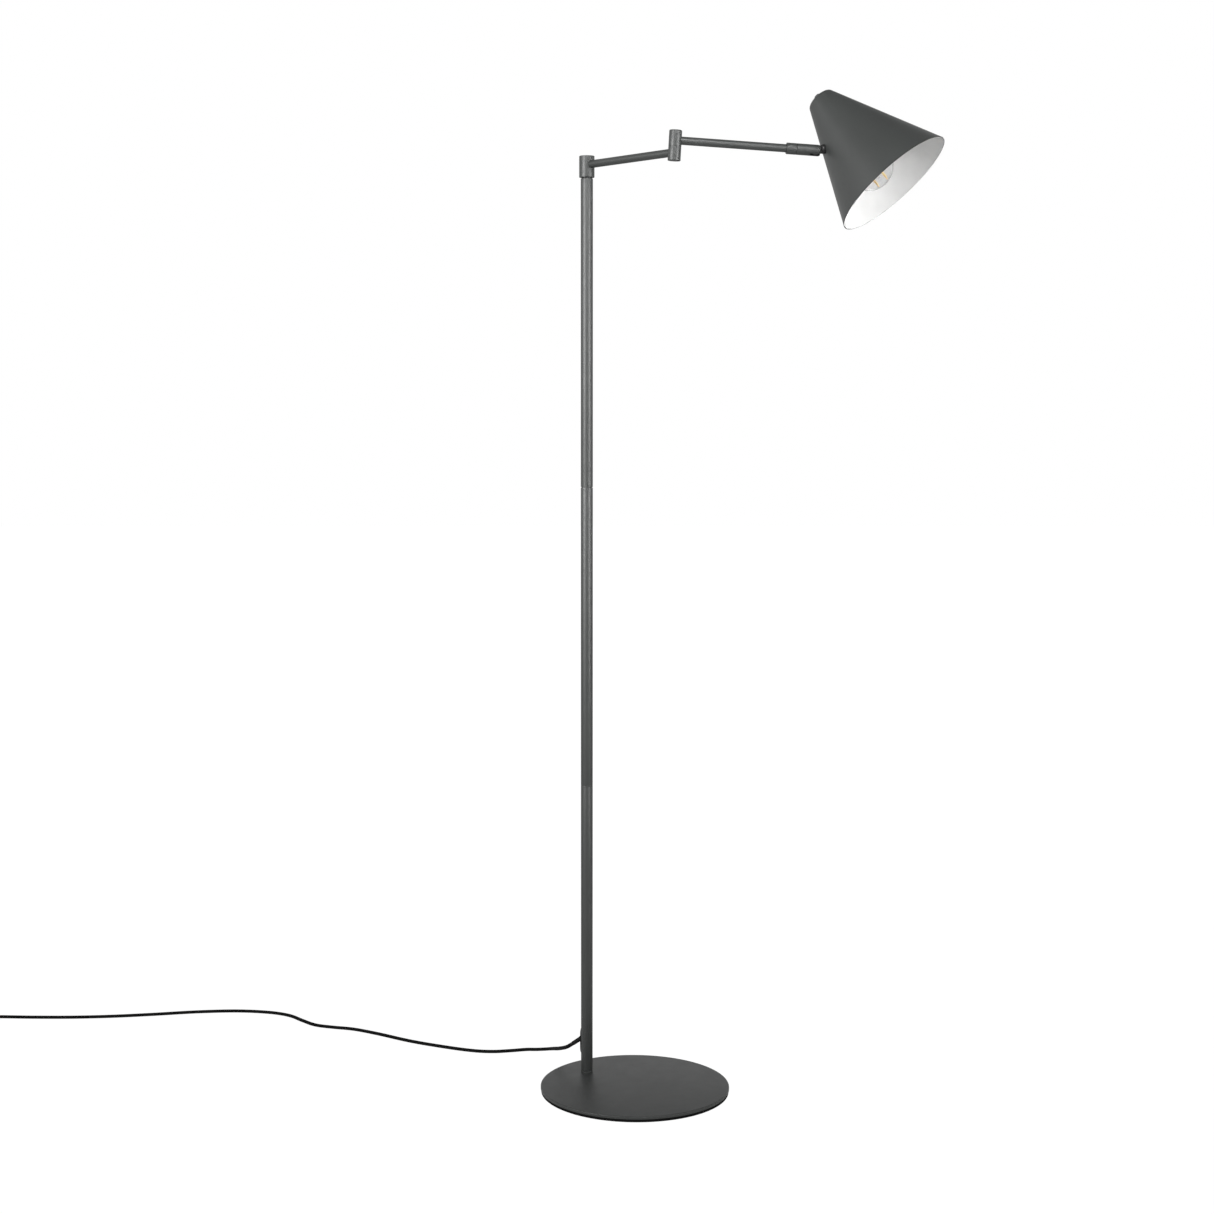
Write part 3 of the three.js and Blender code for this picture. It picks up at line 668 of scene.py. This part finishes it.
def make_arms():
    collar_bottom, collar_top = POLE_TOP + 1.3, ARM_HEIGHT + 11.2
    collar = [(0, collar_bottom), (COLLAR_R, collar_bottom, 0.9), (COLLAR_R, collar_top, 0.9),
              (0, collar_top)]
    revolved("turning_collar", collar, POLE, ANTHRACITE, "lower_arm", ["swivel_collar"])
    tube = [(ARM_R - 1, 5.8), (ARM_R, 5.8), (ARM_R, ARM_LENGTH - 4.3), (ARM_R - 1, ARM_LENGTH - 4.3)]
    revolved("lower_arm_tube", tube, LOWER_ARM @ ALONG_X, ANTHRACITE, "lower_arm",
             ["arm_tube_lower"], radius=0.1)
    lower_half = [(0, -10.2), (ELBOW_R, -10.2, 0.7), (ELBOW_R, 7.2, 0.1), (0, 7.2)]
    revolved("elbow_lower_half", lower_half, ELBOW, ANTHRACITE, "lower_arm",
             ["elbow_housing_lower"])
    upper_half = [(0, 7.3), (ELBOW_R, 7.3, 0.1), (ELBOW_R, 27, 1.4), (0, 27)]
    revolved("elbow_upper_half", upper_half, ELBOW, ANTHRACITE, "upper_arm",
             ["elbow_housing_upper", "elbow_cap"])
    tube = [(ARM_R - 1, 4.3), (ARM_R, 4.3), (ARM_R, RING_END + 11.6), (ARM_R - 1, RING_END + 11.6)]
    revolved("upper_arm_tube", tube, UPPER_ARM @ ALONG_X, ANTHRACITE, "upper_arm",
             ["arm_tube_upper"], radius=0.1)
    ring = [(ARM_R + 0.1, RING_START), (KNUCKLE_R, RING_START, 1.4), (KNUCKLE_R, RING_END, 0.35),
            (ARM_R + 0.1, RING_END)]
    revolved("knuckle_fixed_ring", ring, UPPER_ARM @ ALONG_X, ANTHRACITE, "upper_arm",
             ["knuckle_ring"])


def make_knuckle():
    """The sleeve with its slotted round end, its cross pin, the tongue in the slot and the neck's bush."""
    start, end = RING_END + 0.5, FOREARM_LENGTH + 6.4
    sleeve = [(0, start), (KNUCKLE_R, start, 0.35), (KNUCKLE_R, end, 5.5), (0, end)]
    mesh = revolved_mesh("knuckle_sleeve", rounded(sleeve, steps=10), KNUCKLE @ ALONG_X, 96)
    slot = block_mesh("slot", (FOREARM_LENGTH - 7.4, -10, -2.5), (FOREARM_LENGTH + 20, 10, 2.5), KNUCKLE)
    cross = rod_mesh("cross", 2.1, -9, 9, KNUCKLE @ move(FOREARM_LENGTH, 0, 0))
    bore = rod_mesh("bore", ARM_R + 0.1, start - 1, RING_END + 12, KNUCKLE @ ALONG_X)
    mesh = bevelled(combined(mesh, [slot, cross, bore]), 0.25, segments=2, degrees=40)
    finish_mesh("knuckle_sleeve", mesh, ANTHRACITE, "knuckle", ["knuckle_body"])

    pin = [(0, -6.5), (2, -6.5, 0.4), (2, 6.5, 0.4), (0, 6.5)]
    revolved("tilt_cross_pin", pin, KNUCKLE @ move(FOREARM_LENGTH, 0, 0), ANTHRACITE, "knuckle",
             ["tilt_pin"], segments=48)

    plate_end = 7.4
    eye = rod_mesh("eye", 6.2, -2.3, 2.3, HEAD, 64)
    neck = block_mesh("neck", (0, -4.5, -2.3), (plate_end, 4.5, 2.3), HEAD)
    stem = rod_mesh("stem", 4.0, plate_end - 0.6, 21, HEAD @ ALONG_X, 48)
    mesh = combined(eye, [neck, stem], "UNION")
    hole = rod_mesh("hole", 2.2, -3, 3, HEAD)
    lead_way = rod_mesh("way", 2.0, 8, 22, HEAD @ ALONG_X)
    mesh = bevelled(combined(mesh, [hole, lead_way]), 0.3, segments=2, degrees=40)
    finish_mesh("neck_tongue", mesh, BLACK_PLASTIC, "head", ["tilt_tongue"])

    bush = [(4.2, plate_end), (5.2, plate_end, 0.6), (5.9, plate_end + 2.2, 0.3),
            (5.9, WALL_REACH - 0.15, 0.3), (4.2, WALL_REACH - 0.15)]
    revolved("neck_black_bush", bush, HEAD @ ALONG_X, BLACK_PLASTIC, "head", ["neck_bush"])


# ---------------------------------------------------------------- shade and lamp

def shade_side(inset):
    """The crown's dome and the shoulder arc that touches both the dome and the cone."""
    slope = SHADE_HALF_ANGLE
    dome_centre = SHADE_CROWN + CROWN_DOME_R
    reach = CROWN_DOME_R - SHOULDER_R
    low, high = 0.0, math.radians(80)
    for _ in range(50):
        angle = (low + high) / 2
        on_cone = (reach * math.sin(angle) + SHOULDER_R / math.cos(slope)) / math.tan(slope)
        low, high = (angle, high) if dome_centre - reach * math.cos(angle) > on_cone else (low, angle)
    dome, arc = CROWN_DOME_R - inset, SHOULDER_R - inset
    centre = (reach * math.sin(low), dome_centre - reach * math.cos(low))
    steps = 12
    points = []
    for i in range(steps + 1):
        angle = low * i / steps
        points.append((dome * math.sin(angle), dome_centre - dome * math.cos(angle)))
    for i in range(1, steps + 1):
        angle = low + (math.pi / 2 - slope - low) * i / steps
        points.append((centre[0] + arc * math.sin(angle), centre[1] - arc * math.cos(angle)))
    return points


def make_shade():
    """The painted cone, its outside and lip grey, its inside white."""
    wall = 1.0
    across = wall / math.cos(SHADE_HALF_ANGLE)
    outer = shade_side(0) + [(SHADE_RIM_R - 0.12, SHADE_RIM - 0.3)]
    lip = [(SHADE_RIM_R, SHADE_RIM - 0.05), (SHADE_RIM_R - 0.55, SHADE_RIM + 0.1),
           (SHADE_RIM_R - across + 0.1, SHADE_RIM)]
    inner = shade_side(wall) + [(SHADE_RIM_R - across, SHADE_RIM - 0.4)]
    mesh = revolved_mesh("cone_shade", outer + lip + inner[::-1], SHADE, 192, inner_from=len(outer) + 2,
                         materials=(ANTHRACITE, WHITE_INSIDE))
    neck_hole = rod_mesh("hole", 4.3, WALL_REACH - 5, WALL_REACH + 6, HEAD @ ALONG_X)
    button_hole = rod_mesh("hole", 4.1, SHADE_CROWN - 5, SHADE_CROWN + 6, SHADE)
    mesh = combined(mesh, [neck_hole, button_hole])
    finish_mesh("cone_shade", mesh, ANTHRACITE, "head", ["shade_shell"])
    top = SHADE_CROWN - BUTTON_PROUD
    button = [(0, top), (3.7, top, 0.7), (3.7, SHADE_CROWN + 2), (0, SHADE_CROWN + 2)]
    revolved("crown_push_button", button, SHADE, BLACK_PLASTIC, "button", ["crown_button"])


def make_lampholder():
    back, mouth = BRACKET_LEG + 1, 99.0
    outside = [(4.6, back), (10.8, back, 1), (17.2, back + 16, 2), (17.2, mouth - 12.2),
               (18.6, mouth - 11, 0.5), (18.6, mouth - 4, 0.5), (17.2, mouth - 2.8), (17.2, mouth, 0.6),
               (14.4, mouth, 0.4)]
    inside = [(14.4, back + 18), (10, back + 11), (4.6, back + 11)]
    revolved("lampholder_shell", outside + inside, LAMP, BLACK_PLASTIC, "head",
             ["lampholder_body"])


def make_bulb():
    """A clear bulb: a screw cap with its thread's ridges, blown glass, a stem and four coated filaments."""
    cap_end, cap_top, ball_centre, ball_r = 73.5, 100.5, 148.8, 30.0
    cap = [(0, cap_end), (4.5, cap_end), (5, cap_end + 1.2), (5, cap_end + 1.6), (9.5, cap_end + 3.2),
           (11.6, cap_end + 4.6)]
    ridges, pitch = 5, 3.6
    for k in range(ridges * 6 + 1):
        cap.append((12.5 + 0.6 * math.sin(k * math.pi / 3), cap_end + 5.5 + pitch * k / 6))
    cap += [(12.6, cap_top - 1.5), (13.0, cap_top), (0, cap_top)]
    mesh = revolved_mesh("screw_cap", cap, LAMP, 72)
    finish_mesh("screw_cap", mesh, NICKEL, "head", ["bulb_cap"])

    def glass_side(inset):
        points = [(12.7 - inset, cap_top + 0.2), (12.9 - inset, cap_top + 3), (13.6 - inset, cap_top + 7)]
        flank, steps = 66, 40
        for k in range(steps):
            angle = math.radians(flank + (180 - flank) * k / steps)
            radius = ball_r - inset
            blend = max(0.0, 1 - k / 8)
            points.append((radius * math.sin(angle) - 0.5 * blend, ball_centre - radius * math.cos(angle)))
        return points + [(0, ball_centre + ball_r - inset)]

    mesh = revolved_mesh("blown_glass", glass_side(0) + glass_side(0.8)[::-1], LAMP, 128)
    finish_mesh("blown_glass", mesh, GLASS, "head", ["bulb_glass"], 80)

    stem = [(0, cap_top + 0.3), (8, cap_top + 0.3), (7, cap_top + 3, 1), (4, cap_top + 9, 2),
            (2.2, cap_top + 14, 2), (1.1, cap_top + 26, 3), (1.1, 168, 0.5), (0, 168)]
    revolved("glass_stem", stem, LAMP, GLASS, "head", ["filament_stem"], segments=40)

    half, middle, reach, first_turn = 20.0, 154.8, 9.7, 75
    for i in range(4):
        place = LAMP @ spin(first_turn + 90 * i, "Z") @ move(reach, 0, middle)
        strip = [(0, -half), (0.95, -half, 0.4), (0.95, half, 0.4), (0, half)]
        revolved(f"coated_filament_{i + 1}", strip, place, PHOSPHOR, "head",
                 [f"filament_{i + 1}"], segments=20)


make_base()
make_pole()
make_arms()
make_knuckle()
make_shade()
make_lampholder()
make_bulb()


# ---------------------------------------------------------------- the rest of the CAD nodes

def finish_cad_nodes():
    slots = {part["node"]: part["material_slot"] for part in frame["record"]["subparts"]}
    for name, node in frame["nodes"].items():
        material = SLOT_MATERIALS[slots[name]]
        node.data.materials.clear()
        node.data.materials.append(material)


finish_cad_nodes()


# ---------------------------------------------------------------- stage and light

def area_light(name, place, target, size, power, spread=70):
    light = bpy.data.lights.new(name, "AREA")
    light.shape = "RECTANGLE"
    light.size, light.size_y = size
    light.energy = power
    light.spread = math.radians(spread)
    rig = bpy.data.objects.new(name, light)
    rig.location = place
    rig.rotation_euler = (Vector(target) - Vector(place)).to_track_quat("-Z", "Y").to_euler()
    bpy.context.scene.collection.objects.link(rig)


FLOOR_BOUNCE = 0.8  # how much of the light that falls on the floor it throws back at the lamp
# The backdrop's light on the lamp by the height it comes from: 0 is level, 1 is straight up.
SKY = [(0.0, 0.85), (0.28, 0.68), (0.44, 0.7), (0.66, 0.2)]


def is_seen(nodes):
    return nodes.new("ShaderNodeLightPath").outputs["Is Camera Ray"]


def make_stage():
    """A floor that looks plain white, like the backdrop, and bounces soft light on the lamp."""
    floor_mesh = bpy.data.meshes.new("floor")
    work = bmesh.new()
    bmesh.ops.create_grid(work, x_segments=1, y_segments=1, size=12)
    work.to_mesh(floor_mesh)
    work.free()
    floor = bpy.data.objects.new("floor", floor_mesh)
    floor.location.z = -0.0002
    bpy.context.scene.collection.objects.link(floor)
    material, nodes, links, shader = new_material("pale_floor", Roughness=0.9, Emission_Color=(1, 1, 1, 1))
    links.new(add_range(nodes, links, is_seen(nodes), FLOOR_BOUNCE, 0), shader.inputs["Base Color"])
    links.new(is_seen(nodes), shader.inputs["Emission Strength"])
    floor_mesh.materials.append(material)


def make_world():
    """White where the camera sees it. As a light it is brightest near the horizon and dim overhead."""
    world = bpy.data.worlds.new("studio")
    world.use_nodes = True
    nodes, links = world.node_tree.nodes, world.node_tree.links
    backdrop = nodes["Background"]
    backdrop.inputs["Color"].default_value = (1, 1, 1, 1)
    where = nodes.new("ShaderNodeTexCoord")
    axes = nodes.new("ShaderNodeSeparateXYZ")
    links.new(where.outputs["Generated"], axes.inputs["Vector"])
    light = add_ramp(nodes, links, axes.outputs["Z"], [(height, (level,) * 3) for height, level in SKY])
    level = nodes.new("ShaderNodeMix")
    level.inputs["B"].default_value = 1.0
    links.new(is_seen(nodes), level.inputs["Factor"])
    links.new(light, level.inputs["A"])
    links.new(level.outputs["Result"], backdrop.inputs["Strength"])
    bpy.context.scene.world = world


make_stage()
make_world()
area_light("soft_left", (-1.45, -1.15, 1.2), (-0.2, 0.05, 1.0), (0.9, 1.1), 9)
area_light("soft_right", (1.45, -1.25, 1.05), (-0.5, 0.05, 1.0), (0.8, 1.1), 4.6, 50)
area_light("soft_front", (0.1, -1.9, 2.4), (-0.05, 0, 1.2), (1.3, 0.6), 7.5)
bpy.context.scene.view_settings.view_transform = "Standard"
